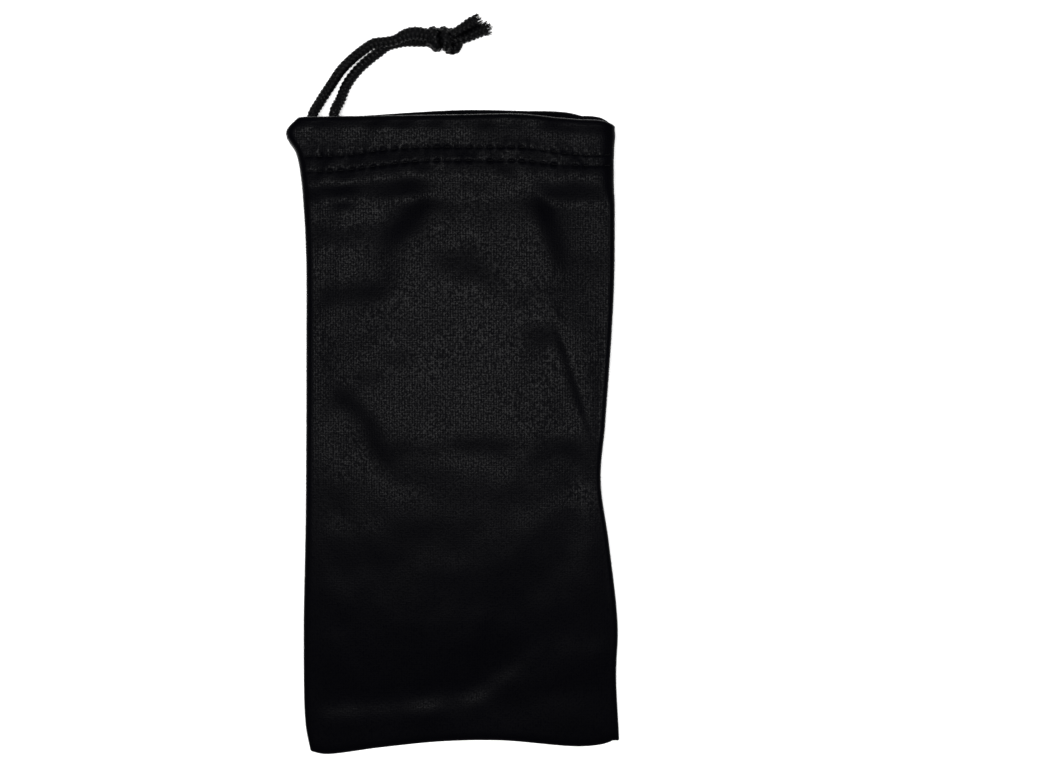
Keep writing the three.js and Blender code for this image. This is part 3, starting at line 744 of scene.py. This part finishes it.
class Look:
    """A material with short ways to add nodes. The last three link a value to the shader."""

    def __init__(self, name, color, roughness, sheen=0.0, specular=0.5):
        self.material = bpy.data.materials.new(name)
        self.material.use_nodes = True
        self.nodes, self.links = self.material.node_tree.nodes, self.material.node_tree.links
        self.shader = self.nodes["Principled BSDF"]
        self.shader.inputs["Base Color"].default_value = (*color, 1)
        self.shader.inputs["Roughness"].default_value = roughness
        self.shader.inputs["Specular IOR Level"].default_value = specular
        self.shader.inputs["Sheen Weight"].default_value = sheen
        self.shader.inputs["Sheen Roughness"].default_value = SHEEN_ROUGHNESS

    def coords(self):
        return self.nodes.new("ShaderNodeTexCoord").outputs["Object"]

    def noise(self, coords, scale, detail):
        node = self.nodes.new("ShaderNodeTexNoise")
        node.inputs["Scale"].default_value = scale
        node.inputs["Detail"].default_value = detail
        self.links.new(coords, node.inputs["Vector"])
        return node.outputs["Fac"]

    def bands(self, coords, direction, period, distortion):
        """Soft stripes across a direction. The period is in mm, and a little longer on the diagonal."""
        node = self.nodes.new("ShaderNodeTexWave")
        node.wave_type = "BANDS"
        node.bands_direction = direction
        node.inputs["Scale"].default_value = 2 * math.pi / (WAVE_RADIANS * period * MM)
        node.inputs["Distortion"].default_value = distortion
        node.inputs["Detail"].default_value = 1.0
        node.inputs["Detail Scale"].default_value = 1.5
        self.links.new(coords, node.inputs["Vector"])
        return node.outputs["Fac"]

    def combine(self, operation, a, b):
        node = self.nodes.new("ShaderNodeMath")
        node.operation = operation
        for socket, value in zip(node.inputs, (a, b)):
            if isinstance(value, (int, float)):
                socket.default_value = value
            else:
                self.links.new(value, socket)
        return node.outputs[0]

    def weighted(self, a, share_a, b, share_b):
        """The sum of two values, each times its share."""
        first = self.combine("MULTIPLY", a, share_a)
        return self.combine("ADD", first, self.combine("MULTIPLY", b, share_b))

    def base_color(self, value, stops):
        """Colour by a value, from stops of position and colour."""
        node = self.nodes.new("ShaderNodeValToRGB")
        while len(node.color_ramp.elements) < len(stops):
            node.color_ramp.elements.new(0.5)
        for element, (position, color) in zip(node.color_ramp.elements, stops):
            element.position = position
            element.color = (*color, 1)
        self.links.new(value, node.inputs["Fac"])
        self.links.new(node.outputs["Color"], self.shader.inputs["Base Color"])

    def roughness(self, value, low, high, at_low, at_high):
        """Roughness that passes from at_low to at_high as the value passes from low to high."""
        node = self.nodes.new("ShaderNodeMapRange")
        for key, number in zip(("From Min", "From Max", "To Min", "To Max"), (low, high, at_low, at_high)):
            node.inputs[key].default_value = number
        self.links.new(value, node.inputs["Value"])
        self.links.new(node.outputs["Result"], self.shader.inputs["Roughness"])

    def bump(self, height, strength, distance):
        """Fine relief, with its distance in metres."""
        node = self.nodes.new("ShaderNodeBump")
        node.inputs["Strength"].default_value = strength
        node.inputs["Distance"].default_value = distance
        self.links.new(height, node.inputs["Height"])
        self.links.new(node.outputs["Normal"], self.shader.inputs["Normal"])


def microfibre():
    """Black knit with a soft satin shine: the grain is in its roughness."""
    look = Look("microfibre", grey(0.001, 0.0013), 0.36, sheen=0.09, specular=0.0125)
    coords = look.coords()
    wales = look.bands(coords, "X", 0.72, 1.2)
    courses = look.bands(coords, "Y", 0.62, 1.4)
    fuzz = look.noise(coords, 1800, 1)
    patch = look.noise(coords, 45, 3)
    knit = look.combine("ADD", wales, look.combine("MULTIPLY", courses, 0.5))
    grain = look.combine("ADD", look.combine("MULTIPLY", knit, 0.16), fuzz)
    tone = look.weighted(grain, 0.55, patch, 0.4)
    stops = [(0.2, grey(0.0001, 0.0003)), (0.5, grey(0.0002, 0.0006)), (0.8, grey(0.0005, 0.0010))]
    look.base_color(tone, stops)
    look.roughness(grain, 0.46, 0.80, 0.56, 0.24)
    look.bump(grain, 0.4, 0.00008)
    return look.material


def braided_cord():
    """Black polyester braid, more matt in its hollows."""
    look = Look("braided_cord", grey(0.003, 0.0036), 0.5, specular=0.044)
    coords = look.coords()
    fibre = look.noise(coords, 2600, 2)
    shade = look.noise(coords, 300, 2)
    tone = look.weighted(fibre, 0.6, shade, 0.4)
    look.base_color(tone, [(0.42, grey(0.0001, 0.0002)), (0.66, grey(0.0014, 0.0019))])
    look.roughness(fibre, 0.35, 0.65, 0.5, 0.25)
    look.bump(fibre, 0.6, 0.00012)
    return look.material


def sewing_thread():
    """Black polyester thread with its twist."""
    look = Look("sewing_thread", grey(0.001, 0.0012), 0.45, specular=0.018)
    ply = look.bands(look.coords(), "DIAGONAL", 0.35, 0.6)
    look.base_color(ply, [(0.2, grey(0.0006, 0.0008)), (0.8, grey(0.002, 0.0024))])
    look.roughness(ply, 0.2, 0.8, 0.55, 0.4)
    look.bump(ply, 0.4, 0.00004)
    return look.material


cloth_material = microfibre()
for obj in (pouch, side_allowance, bottom_allowance):
    obj.data.materials.append(cloth_material)
cord_material = braided_cord()
for obj in (runs, strands["left"][0], strands["right"][0], knot, *tails):
    obj.data.materials.append(cord_material)
thread_material = sewing_thread()
for obj in (needle_upper, needle_lower, bobbin_upper, bobbin_lower, side_thread, bottom_thread):
    obj.data.materials.append(thread_material)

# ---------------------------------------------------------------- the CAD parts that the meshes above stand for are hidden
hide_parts("front_panel", "back_panel", "mouth_corner")
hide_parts("drawstring_front_run", "drawstring_far_bend", "drawstring_back_run")
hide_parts("drawstring_left_strand")
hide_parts("drawstring_right_strand")
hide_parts("knot")
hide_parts("left_tail")
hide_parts("right_tail")
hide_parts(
    "front_upper_needle_thread", "corner_upper_needle_thread", "back_upper_needle_thread",
)
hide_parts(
    "front_lower_needle_thread", "corner_lower_needle_thread", "back_lower_needle_thread",
)
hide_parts("front_upper_bobbin_thread", "back_upper_bobbin_thread")
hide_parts("front_lower_bobbin_thread", "back_lower_bobbin_thread")
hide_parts("side_seam_allowance")
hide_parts("bottom_seam_allowance")
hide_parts("side_seam_thread")
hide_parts("bottom_seam_thread")

# The transforms of the cloth, the drawstring in the hem, the threads and the allowances are baked into
# their meshes.
for obj in (pouch, runs, needle_upper, needle_lower, bobbin_upper, bobbin_lower,
            side_allowance, bottom_allowance, side_thread, bottom_thread):
    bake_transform(obj)

# The free strands have their transforms baked into their meshes; how far each reaches along the pull
# direction is worked out and not used.
PULL = np.array([0.6, 0.8, 0.0])
for side in ("left", "right"):
    obj, path = strands[side]
    from_lip, to_knot = path[len(path) // 4], path[-1]
    reach = float(np.dot(to_knot - from_lip, PULL))
    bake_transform(obj)
for obj in (knot, *tails):
    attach(obj, "drawstring_end")

for side, other in (("left", [knot, tails[0], tails[1]]), ("right", [])):
    obj, path = strands[side]

# ---------------------------------------------------------------- floor and light
FLOOR_SIZE, FLOOR_Z = 6, -0.0004
bpy.ops.mesh.primitive_plane_add(size=FLOOR_SIZE, location=(0, 0, FLOOR_Z))
floor = bpy.context.object
floor.name = "floor"
floor.data.materials.append(Look("floor_white", (0.92, 0.92, 0.92), 0.9, specular=0.1).material)


def area_light(name, place, size, power, aim=(0, 0, 0), wide=None):
    """A lamp turned to its aim. Without an aim it looks straight down, and wide is its length along X."""
    data = bpy.data.lights.new(name, "AREA")
    data.shape = "RECTANGLE"
    data.size, data.size_y = wide or size, size
    data.energy = power
    lamp = bpy.data.objects.new(name, data)
    bpy.context.collection.objects.link(lamp)
    lamp.location = place
    if aim is not None:
        lamp.rotation_mode = "QUATERNION"
        lamp.rotation_quaternion = (Vector(aim) - Vector(place)).to_track_quat("-Z", "Y")


# A narrow strip straight above is the key light, and three large soft lamps stand round the pouch.
KEY_WIDE, KEY_NARROW, KEY_POWER = 0.3, 0.05, 5.0
FILL_SIZE, FILL_POWER = 0.9, 2.5
FILLS = {"fill_left": (-1.6, 0.3, 0.9), "fill_right": (1.6, -0.2, 0.9), "fill_top": (0.1, 1.6, 0.9)}
area_light("key", (-0.012, 0.005, 0.62), KEY_NARROW, KEY_POWER, None, wide=KEY_WIDE)
for name, place in FILLS.items():
    area_light(name, place, FILL_SIZE, FILL_POWER)
WORLD_LIGHT = 0.6
world = bpy.data.worlds.new("studio")
world.use_nodes = True
background = world.node_tree.nodes["Background"]
background.inputs["Color"].default_value = (1, 1, 1, 1)
background.inputs["Strength"].default_value = WORLD_LIGHT
bpy.context.scene.world = world
bpy.context.scene.view_settings.view_transform = "Standard"
